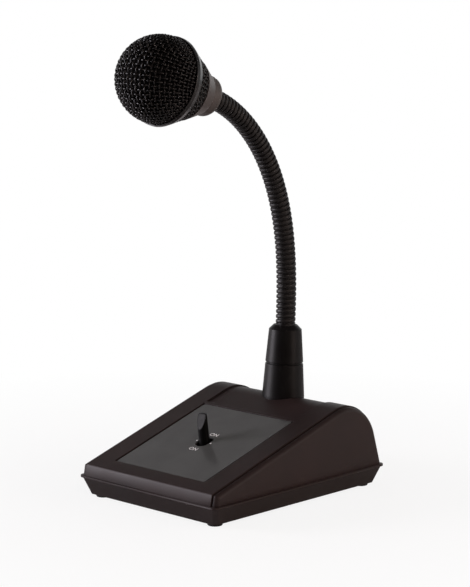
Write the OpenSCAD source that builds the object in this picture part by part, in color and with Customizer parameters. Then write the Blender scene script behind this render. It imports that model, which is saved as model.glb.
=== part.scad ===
// Desk paging microphone: a sloped console with a talk lever, a gooseneck and a ball head.
// Millimetres, +Z up, front towards -Y, origin on the desk under the middle of the base.

/* [Base tray] */
// Width over the lip of the tray
base_w = 117.5; // [110:0.5:126]
// Depth over the lip of the tray, front to back
base_d = 152.5; // [145:0.5:165]
// Height of the parting line above the desk
part_z = 13.6; // [12:0.1:15]
// Wall of both mouldings
wall = 2.4; // [2:0.1:2.8]
// Distance that the tray draws in from its lip to its floor
tray_draw = 5; // [3:0.5:7]
// Corner radius of the lip in plan
corner_r = 4; // [3:0.5:6]
// Distance that the lip stands out past the upper housing
lip_proud = 1.2; // [0.8:0.1:1.6]
// Thickness of the lip
lip_t = 1.2; // [0.8:0.1:2]
// Height of the tongue that centres the housing on the tray
tongue_h = 2; // [1:0.5:3]
// Thickness of the tongue
tongue_t = 1.4; // [1:0.1:2]

/* [Feet and screws] */
// Diameter of a rubber foot
foot_d = 9; // [7:0.5:10]
// Height of a foot below the tray
foot_h = 1.8; // [1:0.1:2.5]
// Depth that a foot is let into the tray
foot_sunk = 0.8; // [0.4:0.1:1.2]
// Distance of a foot's centre from the edges of the tray's floor
foot_inset = 6; // [6:0.5:10]
// Distance of the housing screws from the sides of the lip
screw_in_x = 21.5; // [20:0.5:26]
// Distance of the housing screws from the front and back of the lip
screw_in_y = 17; // [15:0.5:22]
// Diameter of the screw bosses
boss_d = 8; // [7:0.5:9]
// Shank diameter of the housing screws
screw_d = 2.9; // [2.5:0.1:3.5]
// Head diameter of the housing screws
screw_head_d = 5.6; // [5:0.1:6]
// Head height of the housing screws
screw_head_h = 2.2; // [1.6:0.1:2.8]
// Depth of the head's well in the tray
screw_well = 4.5; // [3.5:0.1:6]
// Length of shank in the upper housing
screw_bite = 4.2; // [3:0.1:5]

/* [Ballast] */
// Width of the steel ballast plate
ballast_w = 58; // [50:1:62]
// Depth of the ballast plate
ballast_d = 104; // [90:1:108]
// Thickness of the ballast plate
ballast_t = 5; // [4:0.5:6]
// Diameter of the posts that locate the plate
post_d = 4; // [3:0.5:5]
// Distance between the two posts
post_gap = 84; // [70:1:88]
// Outer diameter of the push nuts on the posts
push_nut_d = 10; // [8:0.5:12]
// Thickness of the push nuts
push_nut_t = 0.6; // [0.4:0.1:1]

/* [Upper housing] */
// Height of the front face
front_h = 7.2; // [6:0.1:10]
// Distance that the front face leans back
front_lean = 1.3; // [0.5:0.1:2.5]
// Rise of the top, degrees
slope = 17.2; // [15:0.1:19]
// Radius of the front edge
front_r = 2; // [1:0.5:3]
// Radius of the crest behind the neck
crest_r = 29; // [27:0.5:31]
// Width of a side cheek with its groove
cheek_w = 6.5; // [6:0.1:7.5]
// Radius that rolls a cheek's edges into its side
cheek_r = 2; // [1.5:0.1:4]
// Distance that the middle band stands above the cheeks
band_proud = 0.8; // [0.4:0.1:1.2]
// Width of the groove between band and cheek
groove_w = 1.2; // [0.8:0.1:1.4]
// Depth of that groove below the cheek
groove_depth = 0.9; // [0.4:0.1:1.2]

/* [Panel] */
// Width of the grey panel
panel_w = 74.7; // [70:0.1:80]
// Length of the panel along the slope
panel_l = 80; // [74:0.5:84]
// Thickness of the panel
panel_t = 1.2; // [0.8:0.1:1.6]
// Corner radius of the panel
panel_r = 1.5; // [1:0.1:4]
// Depth of the panel's face below the band
panel_set = 0.4; // [0.2:0.1:0.8]
// Distance of the panel from the front edge along the slope
panel_front = 10.3; // [8:0.1:11]
// Gap all round the panel
panel_gap = 0.3; // [0.2:0.05:0.5]
// Distance from the panel to the channel behind it
channel_gap = 3; // [2:0.1:5]
// Depth of the channel that runs over the crest
channel_depth = 0.9; // [0.5:0.1:1.2]
// Length of the lever's slot, front to back
slot_l = 12.4; // [12:0.1:14]
// Width of the lever's slot
slot_w = 9.3; // [8.8:0.1:10]

/* [Talk lever] */
// Height of the lever above the panel
lever_h = 17.8; // [14:0.1:24]
// Diameter of the lever's round bar
lever_d = 6.5; // [5.6:0.1:6.6]
// Backward rake of the bar, degrees
lever_rake = 9; // [0:0.5:10]
// Round on the edge of the bar's tip
lever_round = 1.2; // [0.6:0.1:1.6]
// Thickness left at the tip
lever_tip_t = 2.4; // [1.8:0.1:3]
// Length of the finger flat on the front of the tip
lever_flat = 9.4; // [6:0.1:12]
// Radius of the barrel that the lever turns on
barrel_r = 6; // [5.5:0.1:6.5]
// Length of the barrel
barrel_w = 9; // [8:0.5:10]
// Diameter of the pivot pin
pin_d = 2.5; // [2:0.1:3]

/* [Switch] */
// Width of the switch body
switch_w = 15; // [14.5:0.5:18]
// Length of the switch body
switch_l = 20; // [19:0.5:22]
// Depth of the switch body under the housing's top wall
switch_h = 13; // [12:0.5:14]
// Length of the mounting flange
flange_l = 40; // [38:1:44]
// Thickness of the mounting flange
flange_t = 2; // [1.5:0.1:2.5]
// Distance between the two mounting screws
flange_screws = 31; // [29.5:0.5:33]
// Shank diameter of the mounting screws
flange_screw_d = 2.5; // [2:0.1:3]
// Head diameter of the mounting screws
flange_head_d = 5; // [4.4:0.1:5.4]
// Depth of the bosses that the mounting screws bite into
flange_boss_h = 4; // [3:0.5:5]
// Width of a solder terminal
terminal_w = 1.6; // [1.2:0.1:2]
// Thickness of a solder terminal
terminal_t = 0.6; // [0.4:0.1:0.8]
// Spacing of the terminals, front to back
terminal_pitch = 5; // [4:0.5:6]
// Spacing of the two rows of terminals
terminal_rows = 7; // [5:0.5:9]
// Depth that a terminal is set into the switch body
terminal_set = 2.5; // [1.5:0.5:3]
// Thickness of the circuit board
board_t = 1.6; // [1:0.1:2]
// Width of the circuit board
board_w = 24; // [20:1:30]
// Length of the circuit board
board_l = 30; // [24:1:36]
// Gap between switch body and board
board_gap = 0.5; // [0.2:0.1:1]

/* [Cable inlet] */
// Height of the inlet above the desk
inlet_z = 25; // [22:0.5:27]
// Diameter of the cable that the grommet takes
cable_d = 6; // [5:0.5:7]
// Rubber round the cable
grommet_wall = 1.5; // [1:0.1:2]
// Distance that the grommet's flanges reach past its hole
grommet_flange = 2; // [1.5:0.1:2.5]
// Thickness of the outer flange
grommet_t = 2; // [1.5:0.1:3]
// Thickness of the inner flange
grommet_in_t = 1.5; // [1:0.1:2]

/* [Neck] */
// Distance of the neck behind the middle of the crest's arc
neck_back = 4.4; // [3:0.1:7]
// Backward lean of the neck, degrees
neck_lean = 2.5; // [0:0.1:4]
// Diameter of the lower collar at its foot
collar_d = 26.6; // [24:0.1:27]
// Diameter of the collars where they meet
collar_mid_d = 23.9; // [22:0.1:24.4]
// Diameter of the upper collar under its chamfer
collar_top_d = 20.6; // [19:0.1:21.4]
// Diameter of the upper collar's top
collar_end_d = 15; // [14.4:0.1:16]
// Depth of the collar's seat in the crest
collar_sunk = 6.5; // [6.2:0.1:7.5]
// Height of the lower collar above the crest
collar_low_h = 20.4; // [17:0.1:24]
// Width of the groove between the collars
collar_groove = 0.9; // [0.5:0.1:1.4]
// Height of the upper collar up to its chamfer
collar_up_h = 20.8; // [17:0.1:24]
// Height of the chamfer
collar_chamfer = 2.8; // [2:0.1:4]
// Outer diameter of the threaded stem
stem_d = 13; // [12.8:0.1:13.4]
// Length of stem below the seat
stem_tail = 15; // [13:0.5:17]
// Thickness of the washer
washer_t = 1.2; // [0.8:0.1:2]
// Diameter of the washer
washer_d = 22; // [20:0.5:23]
// Width of the nut across flats
nut_af = 19; // [18:0.5:21]
// Thickness of the nut
nut_t = 5; // [4:0.5:6]

/* [Gooseneck] */
// Ribs on each stretch
ribs_each = 3; // [3:1:4]
// Spacing of the ribs
rib_pitch = 2.74; // [2.7:0.01:2.9]
// Diameter over the ribs
neck_d = 12.2; // [11.8:0.1:12.2]
// Radius of a rib's round
rib_r = 0.78; // [0.6:0.01:0.8]
// Diameter between the ribs
core_d = 9.2; // [9:0.1:9.6]
// Diameter of the bore for the signal lead
bore_d = 3.2; // [2:0.1:3.6]
// Radius of the ball that each stretch turns on
ball_r = 3.3; // [3:0.1:3.4]
// Gap between two stretches
stretch_gap = 1.3; // [1.2:0.1:1.4]
// Forward heading at the head's end, degrees from upright
end_heading = 72; // [60:0.1:76]
// How late the bend comes: 1 bends evenly
bend_power = 1.71; // [1.4:0.01:2.1]
// Diameter of the plugs at both ends
plug_d = 8.4; // [8:0.1:8.6]
// Length of the plugs
plug_l = 8; // [6:0.5:9]

/* [Head] */
// Heading of the head's axis, degrees from upright
head_heading = 73.4; // [70:0.1:76]
// Diameter of the round socket at the back
socket_d = 24.8; // [24:0.1:26]
// Radius of the socket's rear edge
socket_r = 5; // [3:0.5:5.5]
// Start of the socket ahead of the gooseneck's end
socket_start = 0.4; // [0.3:0.1:1]
// Place of the socket's shoulder along the axis
socket_l = 10.2; // [9.6:0.1:11]
// Step from the socket to the cone
socket_step = 0.8; // [0.4:0.1:1.2]
// Place of the cone's front rim along the axis
cone_end = 22.3; // [21.5:0.1:23]
// Diameter of the cone's front rim
cone_d = 38.8; // [38:0.1:40]
// Wall of the cone at its rim
cone_wall = 2.6; // [2.2:0.1:3]
// Diameter of the well for the cartridge
well_d = 21; // [20:0.5:21.5]
// Bottom of that well along the axis
well_start = 8.6; // [8.5:0.1:9.4]
// Diameter of the set screw
set_d = 3; // [2.5:0.1:4]
// Place of the set screw along the axis
set_at = 4.3; // [3.8:0.1:4.8]
// Turn of the set screw round the axis, degrees
set_turn = 25; // [0:5:60]
// Back of the band ring along the axis
band_start = 34.8; // [34:0.1:35.6]
// Width of the band ring
band_l = 6; // [5:0.1:7]
// Diameter of the band ring at its front
band_d = 54; // [53.8:0.1:55]
// Diameter of the band ring at its back
band_rear_d = 50.6; // [49.6:0.1:52]
// Length of the flare at the band ring's back
band_flare = 3.6; // [3:0.1:4]
// Depth of the seat for the front grille in the band ring
band_seat = 1.5; // [1:0.1:1.6]
// Diameter of the front grille
ball_d = 53; // [52:0.1:53.2]
// Centre of the front grille along the axis
ball_at = 43.9; // [43.4:0.1:44.4]

/* [Grille] */
// Thickness of the grille wire
wire_d = 1; // [0.8:0.05:1]
// Spacing of the wires at the pole of the ball
wire_pitch = 2.9; // [2.6:0.05:3.2]
// Least spacing of two wires near the rim
wire_least = 1.5; // [1.3:0.05:1.8]
// Gap between the two layers of wire
layer_gap = 0.25; // [0.15:0.05:0.4]
// Number of straight wires in the rear grille
rear_wires = 60; // [48:1:64]
// Number of hoops in the rear grille
rear_hoops = 4; // [3:1:5]
// Thickness of the foam behind the grille
foam_t = 3; // [2:0.5:4]

/* [Cartridge] */
// Diameter of the cartridge
capsule_d = 27; // [25:0.5:27.4]
// Diameter of its magnet pot
magnet_d = 19; // [17:0.5:19.4]
// Back of the magnet pot along the axis
magnet_start = 12.8; // [12:0.1:14]
// Front of the cartridge along the axis
capsule_end = 37.8; // [35:0.1:40]
// Depth of the rubber cushion's seat in the rim
cushion_sunk = 1.9; // [1.5:0.1:2.2]
// Length of the rubber cushion ahead of the rim
cushion_l = 2.5; // [2:0.1:3]

/* [Hidden] */
$fn = 96;
// Running clearance between pieces
clear = 0.3;
// Clearance of a close fit
fit = 0.05;
// Overlap that joins or cuts cleanly
eps = 0.02;
// Distance that a round stops short of its tangent
crease = 0.01;
// Facets round a hulled curve
hull_fn = 32;

shell_w = base_w - 2 * lip_proud;
band_w = shell_w - 2 * cheek_w;
pocket_depth = panel_t + panel_set;
cavity_inset = wall + pocket_depth;

// Side profile of the housing in the Y-Z plane
slope_dir = [cos(slope), sin(slope)];
slope_up = [-sin(slope), cos(slope)];
front_foot = [-base_d / 2 + lip_proud, part_z];
front_edge = front_foot + [front_lean, front_h];
rear_foot = [base_d / 2 - lip_proud, part_z];
front_down = (front_foot - front_edge) / norm(front_foot - front_edge);
top_l = (rear_foot - front_edge) * slope_dir;
crest = front_edge + top_l * slope_dir;
crest_c = crest - crest_r * (slope_dir + slope_up);

// Points of that profile from the front foot over the crest to the rear foot, drawn in by inset
function arc(middle, r, from, to, steps) =
    [for (k = [0 : steps]) let (a = from + (to - from) * k / steps) middle + r * [cos(a), sin(a)]];
function outline_points(inset) =
    let (sine = abs(front_down.x * slope_dir.y - front_down.y * slope_dir.x),
        f = front_edge + inset * (front_down + slope_dir) / sine,
        c = crest - inset * (slope_dir + slope_up),
        r = max(front_r - inset, 0.4))
    concat([f - front_down * (f.y - part_z) / front_down.y],
        arc(f + (front_down + slope_dir) * r / sine, r, atan2(-front_down.x, front_down.y), slope + 90, 3),
        arc(crest_c, crest_r - inset, slope + 90, slope, 12),
        [c - slope_up * (c.y - part_z) / slope_up.y]);

// Feet and housing screws
foot_x = base_w / 2 - tray_draw - foot_inset;
foot_y = base_d / 2 - tray_draw - foot_inset;
screw_x = base_w / 2 - screw_in_x;
screw_y = base_d / 2 - screw_in_y;
tray_floor = foot_h + wall;
boss_z = part_z + tongue_h;

// Lever and switch, measured down from the face of the band at the panel's middle
panel_mid = panel_front + panel_l / 2;
pivot_n = pocket_depth + clear + barrel_r;
switch_top = cavity_inset;
board_n = switch_top + switch_h + board_gap;
terminal_l = terminal_set + board_gap + board_t + 1;

// Neck, measured up its own axis from the floor of the channel
neck_y = crest_c.x + neck_back;
neck_z = crest_c.y + sqrt(pow(crest_r - channel_depth, 2) - pow(neck_back, 2));
collar_top = collar_low_h + collar_groove + collar_up_h;
neck_top = collar_top + collar_chamfer;
stem_top = collar_top - plug_l / 4;
boss_under = collar_sunk + wall + 1;

// Gooseneck: straight stretches whose headings follow one bend
stretches = 21;
stretch_l = ribs_each * rib_pitch;
neck_start = [neck_y + neck_top * sin(neck_lean), neck_z + neck_top * cos(neck_lean)];
function heading(i) = -neck_lean + (end_heading + neck_lean) * pow((i - 0.5) / stretches, bend_power);
function joint_at(i) = i == 0
    ? neck_start
    : joint_at(i - 1) + stretch_l * [-sin(heading(i)), cos(heading(i))];
function two(i) = str(i < 10 ? "0" : "", i);
neck_end = joint_at(stretches);

// Grille
outer_wire_r = ball_d / 2 - wire_d / 2;
inner_wire_r = outer_wire_r - wire_d - layer_gap;
foam_r = inner_wire_r - wire_d / 2 - clear;
wire_seat = band_start + band_l - band_seat;
rear_r0 = cone_d / 2 - 0.6 * wire_d;
rear_r1 = band_rear_d / 2 - 0.6 * wire_d;
rear_rise = (rear_r1 - rear_r0) / (band_start - cone_end);
rear_angle = atan(rear_rise);
function rows(x, r) = x > r * 0.965
    ? []
    : concat([x], rows(x + max(wire_pitch * sqrt(1 - pow(x / r, 2)), wire_least), r));
function rear_r(s) = rear_r0 + (s - cone_end) * rear_rise;
cushion_d = cone_d - 2 * cone_wall - 2 * fit;

// The origin lies under the middle of the whole, from the grille's front to the back of the base
grille_front = neck_end.x - ball_at * sin(head_heading) - outer_wire_r - wire_d / 2;
origin_y = (base_d / 2 + min(grille_front, -base_d / 2)) / 2;

// Extrudes a Y-Z outline across the base
module along_x(w) {
    rotate([90, 0, 90]) linear_extrude(w, center = true) children();
}

// Rectangle with round corners, centred
module round_rect(w, d, r) {
    square([w - 2 * r, d], center = true);
    square([w, d - 2 * r], center = true);
    for (x = [-1, 1], y = [-1, 1])
        translate([x * (w / 2 - r), y * (d / 2 - r)]) circle(r);
}

// What a round of radius r takes off the corner p between edges along a and b
module corner_cut(p, a, b, r) {
    sine = abs(a.x * b.y - a.y * b.x);
    reach = r * (1 + a * b) / sine;
    middle = p + (a + b) * (r - crease) / sine;
    difference() {
        polygon([p - (a + b), p + a * reach, middle, p + b * reach]);
        translate(middle) circle(r);
    }
}

// Outline of the housing, drawn in by inset and cut off at low_z
module side_profile(inset, low_z) {
    sine = abs(front_down.x * slope_dir.y - front_down.y * slope_dir.x);
    f = front_edge + inset * (front_down + slope_dir) / sine;
    c = crest - inset * (slope_dir + slope_up);
    intersection() {
        difference() {
            polygon([f + front_down * base_d, f, c, c - slope_up * base_d]);
            corner_cut(f, front_down, slope_dir, max(front_r - inset, 0.4));
            corner_cut(c, -slope_dir, -slope_up, crest_r - inset);
        }
        translate([-base_d, low_z]) square([2 * base_d, base_d]);
    }
}

// Places children on the slope: X across, Y up the slope from the front edge, Z out of the band
module on_slope(along) {
    translate([0, front_edge.x, front_edge.y]) rotate([slope, 0, 0]) translate([0, along, 0]) children();
}

// Places children on the neck's axis, Z up from the floor of the channel
module on_neck() {
    translate([0, neck_y, neck_z]) rotate([-neck_lean, 0, 0]) children();
}

// Places children at the cable inlet, Z out of the rear wall
module on_inlet() {
    translate([0, rear_foot.x - (inlet_z - part_z) * tan(slope), inlet_z])
        rotate([slope - 90, 0, 0]) children();
}

// Places children on the head's axis, Z forward from the gooseneck's end
module on_head() {
    translate([0, neck_end.x, neck_end.y]) rotate([head_heading, 0, 0]) children();
}

// Moves children from the middle of the base to the part's own origin
module from_origin() {
    translate([0, -origin_y, 0]) children();
}

module at_corners(x, y) {
    for (sx = [-1, 1], sy = [-1, 1]) translate([sx * x, sy * y, 0]) children();
}

// Side cheek whose edges roll into its outer face, lofted through outlines that draw in
module cheek() {
    edge = shell_w / 2 - cheek_r;
    rolls = [for (turn = [0 : 22.5 : 90]) [edge + cheek_r * sin(turn), cheek_r * (1 - cos(turn))]];
    stations = concat([[band_w / 2 + groove_w, 0]], rolls);
    rings = [for (at = stations) [for (p = outline_points(band_proud + at[1])) [at[0], p.x, p.y]]];
    count = len(rings[0]);
    last = (len(rings) - 1) * count;
    sides = [for (k = [0 : count : last - count], i = [0 : count - 1])
        let (a = k + i, b = k + (i + 1) % count) each [[a, b, b + count], [a, b + count, a + count]]];
    caps = [[for (i = [0 : count - 1]) count - 1 - i], [for (i = [0 : count - 1]) last + i]];
    polyhedron([for (ring = rings) each ring], concat(sides, caps), convexity = 4);
}

// Keeps a boss inside the housing's wall
module boss_in_wall() {
    intersection() {
        along_x(band_w - wall) side_profile(wall, part_z);
        children();
    }
}

module housing_bosses() {
    for (sx = [-1, 1], sy = [-1, 1]) boss_in_wall()
        translate([sx * screw_x, sy * screw_y, boss_z]) cylinder(d = boss_d, h = base_d);
    along_x(collar_d + 2 * wall) intersection() {
        side_profile(wall, part_z);
        translate([neck_y, neck_z]) rotate(-neck_lean) translate([-collar_d / 2 - wall, -boss_under])
            square([collar_d + 2 * wall, boss_under]);
    }
}

module upper_housing() color("#332c2c") difference() {
    union() {
        difference() {
            union() {
                along_x(band_w) side_profile(0, part_z);
                along_x(band_w + 2 * groove_w + wall) side_profile(band_proud + groove_depth, part_z);
                cheek();
                mirror([1, 0, 0]) cheek();
            }
            along_x(shell_w - 2 * wall) side_profile(cavity_inset, part_z - wall);
        }
        housing_bosses();
    }
    // pocket for the panel, and the switch's opening in its floor
    on_slope(panel_mid) {
        translate([0, 0, -pocket_depth]) linear_extrude(pocket_depth + wall)
            round_rect(panel_w + 2 * panel_gap, panel_l + 2 * panel_gap, panel_r + panel_gap);
        translate([0, 0, -cavity_inset])
            cube([barrel_w + 4 * clear, 2 * barrel_r + 2, 2 * wall + 2], center = true);
        for (side = [-1, 1]) translate([0, side * flange_screws / 2, 0]) flange_screw(2 * fit, wall);
    }
    // channel behind the panel, over the crest and down the back
    along_x(panel_w + 2 * panel_gap) difference() {
        translate(front_edge) rotate(slope) translate([panel_front + panel_l + channel_gap, -base_d])
            square([base_d, base_d + wall]);
        side_profile(channel_depth, part_z - wall);
    }
    on_neck() {
        translate([0, 0, -collar_sunk]) cylinder(d = collar_d + 2 * clear, h = crest_r);
        translate([0, 0, -crest_r]) cylinder(d = stem_d + 2 * clear, h = crest_r);
    }
    on_inlet() translate([0, 0, -crest_r / 2])
        cylinder(d = cable_d + 2 * grommet_wall + 2 * fit, h = crest_r);
    at_corners(screw_x, screw_y) translate([0, 0, boss_z - eps])
        cylinder(d = screw_d + 2 * fit, h = screw_bite + 0.5);
}

// Tapered block between the lip and the floor, drawn in by inset
module tray_block(inset, z0, z1) {
    rise = part_z - lip_t - foot_h;
    hull() for (z = [z0, z1]) {
        draw = lip_proud + (tray_draw - lip_proud) * (part_z - lip_t - z) / rise + inset;
        translate([0, 0, z]) linear_extrude(eps)
            round_rect(base_w - 2 * draw, base_d - 2 * draw, corner_r - lip_proud, $fn = hull_fn);
    }
}

module lower_tray() color("#2f2a2b") difference() {
    tongue_x = shell_w - 2 * (wall + clear);
    tongue_lean = tongue_h * tan(slope) + cavity_inset / cos(slope) + clear;
    tongue_y = base_d - 2 * (lip_proud + tongue_lean);
    union() {
        difference() {
            union() {
                tray_block(0, foot_h, part_z - lip_t);
                translate([0, 0, part_z - lip_t]) linear_extrude(lip_t) round_rect(base_w, base_d, corner_r);
                translate([0, 0, part_z - lip_t]) linear_extrude(lip_t + tongue_h)
                    round_rect(tongue_x, tongue_y, corner_r);
            }
            tray_block(wall, tray_floor, part_z - lip_t);
            translate([0, 0, part_z - lip_t]) linear_extrude(lip_t + tongue_h + eps)
                round_rect(tongue_x - 2 * tongue_t, tongue_y - 2 * tongue_t, corner_r - tongue_t);
        }
        at_corners(screw_x, screw_y) translate([0, 0, foot_h + eps])
            cylinder(d = boss_d, h = boss_z - foot_h - eps);
        for (side = [-1, 1]) translate([0, side * post_gap / 2, tray_floor - eps])
            cylinder(d = post_d, h = ballast_t + push_nut_t + 1);
    }
    at_corners(screw_x, screw_y) {
        cylinder(d = screw_d + 2 * clear, h = boss_z + wall);
        cylinder(d = screw_head_d + 2 * clear, h = foot_h + screw_well);
    }
    at_corners(foot_x, foot_y) cylinder(d = foot_d + 2 * fit, h = foot_h + foot_sunk);
}

module rubber_feet() color("#161616") at_corners(foot_x, foot_y) rotate_extrude() difference() {
    square([foot_d / 2, foot_h + foot_sunk]);
    corner_cut([foot_d / 2, 0], [-1, 0], [0, 1], 0.6);
}

module housing_screws() color("#8c8f92") at_corners(screw_x, screw_y) translate([0, 0, foot_h + screw_well]) {
    difference() {
        translate([0, 0, -screw_head_h]) cylinder(d = screw_head_d, h = screw_head_h);
        for (turn = [0, 90]) rotate(turn) translate([0, 0, -screw_head_h])
            cube([screw_head_d * 0.62, 0.8, screw_head_h], center = true);
    }
    translate([0, 0, -eps]) cylinder(d = screw_d, h = boss_z - foot_h - screw_well + screw_bite + eps);
}

module ballast_plate() color("#6f7275") translate([0, 0, tray_floor]) linear_extrude(ballast_t) difference() {
    round_rect(ballast_w, ballast_d, corner_r);
    for (side = [-1, 1]) translate([0, side * post_gap / 2]) circle(d = post_d + 2 * clear);
}

module push_nuts() color("#9a9da0") for (side = [-1, 1])
    translate([0, side * post_gap / 2, tray_floor + ballast_t]) linear_extrude(push_nut_t) difference() {
        circle(d = push_nut_d);
        circle(d = post_d + 2 * fit);
    }

// Oval slot that the lever swings in
module lever_slot() {
    reach = (slot_l - slot_w) / 2;
    square([slot_w, 2 * reach], center = true);
    for (side = [-1, 1]) translate([0, side * reach]) circle(d = slot_w);
}

module top_panel() color("#565756") on_slope(panel_mid) translate([0, 0, -pocket_depth])
    linear_extrude(panel_t) difference() {
        round_rect(panel_w, panel_l, panel_r);
        lever_slot();
    }

// Round bar that leaves the middle of the slot, with a finger flat on the front of its tip
module lever_bar() {
    under = pivot_n - panel_set;
    flat_top = [lever_d / 2 - lever_tip_t, lever_h];
    flat_run = [lever_d - lever_tip_t, lever_flat];
    translate([0, 0, under]) rotate([-lever_rake, 0, 0]) difference() {
        rotate_extrude() difference() {
            translate([0, -under]) square([lever_d / 2, under + lever_h]);
            corner_cut([lever_d / 2, lever_h], [-1, 0], [0, -1], lever_round);
        }
        along_x(2 * lever_d) polygon([flat_top - 1.2 * flat_run, flat_top + 0.2 * flat_run,
            [-2 * lever_d, lever_h + lever_flat]]);
    }
}

module talk_lever() color("#191919") on_slope(panel_mid) translate([0, 0, -pivot_n]) difference() {
    union() {
        lever_bar();
        rotate([0, 90, 0]) cylinder(r = barrel_r, h = barrel_w, center = true);
    }
    rotate([0, 90, 0]) cylinder(d = pin_d + 2 * fit, h = 2 * barrel_w, center = true);
}

module lever_pin() color("#a8abad") on_slope(panel_mid) translate([0, 0, -pivot_n])
    rotate([0, 90, 0]) cylinder(d = pin_d, h = switch_w, center = true);

module flange_screw(grow, above) {
    translate([0, 0, -pocket_depth]) cylinder(d = flange_head_d + 2 * grow, h = above);
    translate([0, 0, -pocket_depth - wall / 2])
        cylinder(d1 = flange_screw_d + 2 * grow, d2 = flange_head_d + 2 * grow, h = wall / 2);
    translate([0, 0, -switch_top - flange_boss_h - 2 * grow]) cylinder(d = flange_screw_d + 2 * grow,
        h = flange_boss_h + 2 * grow + switch_top - pocket_depth - wall / 2 + eps);
}

module switch_terminal(grow) {
    cube([terminal_t + 2 * grow, terminal_w + 2 * grow, terminal_l], center = true);
}

module at_terminals() {
    middle = -switch_top - switch_h + terminal_set - terminal_l / 2;
    for (x = [-1, 1], y = [-1 : 1])
        translate([x * terminal_rows / 2, y * terminal_pitch, middle]) children();
}

module switch_body() color("#26282b") on_slope(panel_mid) difference() {
    union() {
        translate([0, 0, -switch_top - flange_t / 2]) cube([switch_w, flange_l, flange_t], center = true);
        translate([0, 0, -switch_top - switch_h / 2]) cube([switch_w, switch_l, switch_h], center = true);
        for (side = [-1, 1]) translate([0, side * flange_screws / 2, -switch_top - flange_boss_h - 0.5])
            cylinder(d = 3 * flange_screw_d, h = flange_boss_h);
    }
    translate([0, 0, -pivot_n]) {
        rotate([0, 90, 0]) {
            cylinder(r = barrel_r + clear, h = barrel_w + 2 * clear, center = true);
            cylinder(d = pin_d + fit, h = 2 * switch_w, center = true);
        }
        translate([0, 0, barrel_r])
            cube([barrel_w + 2 * clear, 2 * (barrel_r + clear), 2 * barrel_r], center = true);
    }
    for (side = [-1, 1]) translate([0, side * flange_screws / 2, 0]) flange_screw(fit, eps);
    at_terminals() switch_terminal(fit);
}

module switch_screws() color("#9a9da0") on_slope(panel_mid)
    for (side = [-1, 1]) translate([0, side * flange_screws / 2, -fit]) difference() {
        intersection() {
            flange_screw(0, eps);
            translate([0, 0, -pocket_depth - base_d / 2]) cube([base_d, base_d, base_d], center = true);
        }
        translate([0, 0, -pocket_depth]) cube([flange_head_d, 0.7, 1], center = true);
    }

module switch_terminals() color("#c8a24a") on_slope(panel_mid) at_terminals() switch_terminal(0);

module switch_board() color("#2c5b3c") on_slope(panel_mid) difference() {
    translate([0, 0, -board_n - board_t]) linear_extrude(board_t) round_rect(board_w, board_l, panel_r);
    at_terminals() switch_terminal(fit);
}

module cable_grommet() color("#1a1a1a") on_inlet() {
    hole_r = cable_d / 2 + grommet_wall;
    rim = cavity_inset - channel_depth;
    translate([0, 0, -channel_depth]) rotate_extrude() difference() {
        union() {
            translate([cable_d / 2, 0]) square([grommet_wall + grommet_flange, grommet_t]);
            translate([cable_d / 2, -rim - grommet_in_t]) {
                square([grommet_wall, rim + grommet_in_t + grommet_t]);
                square([grommet_wall + grommet_flange, grommet_in_t]);
            }
        }
        corner_cut([hole_r + grommet_flange, grommet_t], [-1, 0], [0, -1], grommet_t / 2);
    }
}

module lower_collar() color("#2a2627") on_neck() {
    foot_grow = (collar_d - collar_mid_d) / 2 / collar_low_h;
    rotate_extrude() difference() {
        union() {
            polygon([[stem_d / 2 + fit, -collar_sunk], [collar_d / 2, -collar_sunk], [collar_d / 2, 0],
                [collar_d / 2 - foot_grow * collar_low_h, collar_low_h], [stem_d / 2 + fit, collar_low_h]]);
            translate([stem_d / 2 + fit, 0])
                square([(collar_mid_d - stem_d) / 2 - fit - collar_groove, collar_low_h + collar_groove]);
        }
        corner_cut([collar_mid_d / 2, collar_low_h], [-1, 0], [foot_grow, -1] / norm([foot_grow, -1]), 0.5);
    }
}

module upper_collar() color("#2a2627") on_neck() {
    low = collar_low_h + collar_groove;
    rotate_extrude() difference() {
        polygon([[0, low], [collar_mid_d / 2, low], [collar_top_d / 2, collar_top],
            [collar_end_d / 2, neck_top], [0, neck_top]]);
        translate([0, low - eps]) square([stem_d / 2 + fit, stem_top - low + clear]);
        square([neck_d / 2 + clear, 2 * neck_top]);
        corner_cut([collar_mid_d / 2, low], [-1, 0], [0, 1], 0.5);
    }
}

module neck_stem() color("#7d8082") on_neck() translate([0, 0, -collar_sunk - stem_tail]) difference() {
    cylinder(d = stem_d, h = collar_sunk + stem_tail + stem_top);
    translate([0, 0, -eps]) cylinder(d = plug_d + 2 * fit, h = 2 * neck_top + stem_tail);
}

module stem_washer() color("#9a9da0") on_neck() translate([0, 0, -boss_under - washer_t])
    linear_extrude(washer_t) difference() {
        circle(d = washer_d);
        circle(d = stem_d + 2 * clear);
    }

module stem_nut() color("#8c8f92") on_neck() translate([0, 0, -boss_under - washer_t - nut_t]) difference() {
    cylinder(d = nut_af / cos(30), h = nut_t, $fn = 6);
    translate([0, 0, -eps]) cylinder(d = stem_d + 2 * fit, h = nut_t + 2 * eps);
}

// One stretch of ribbed neck: a cup or a plug below, a ball or a plug above
module stretch_profile(first, last) {
    difference() {
        intersection() {
            union() {
                translate([0, stretch_gap / 2]) square([core_d / 2, stretch_l - stretch_gap]);
                for (k = [0 : ribs_each - 1])
                    translate([neck_d / 2 - rib_r, (k + 0.5) * rib_pitch]) circle(rib_r, $fn = hull_fn);
                if (first) translate([0, stretch_gap / 2 - plug_l]) square([plug_d / 2, plug_l + eps]);
                if (last) translate([0, stretch_l - stretch_gap / 2 - eps])
                    square([plug_d / 2, plug_l + eps]);
                if (!last) translate([0, stretch_l]) circle(ball_r);
            }
            translate([bore_d / 2, -2 * plug_l]) square([neck_d, stretch_l + 4 * plug_l]);
        }
        if (!first) circle(ball_r + clear);
    }
}

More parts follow.
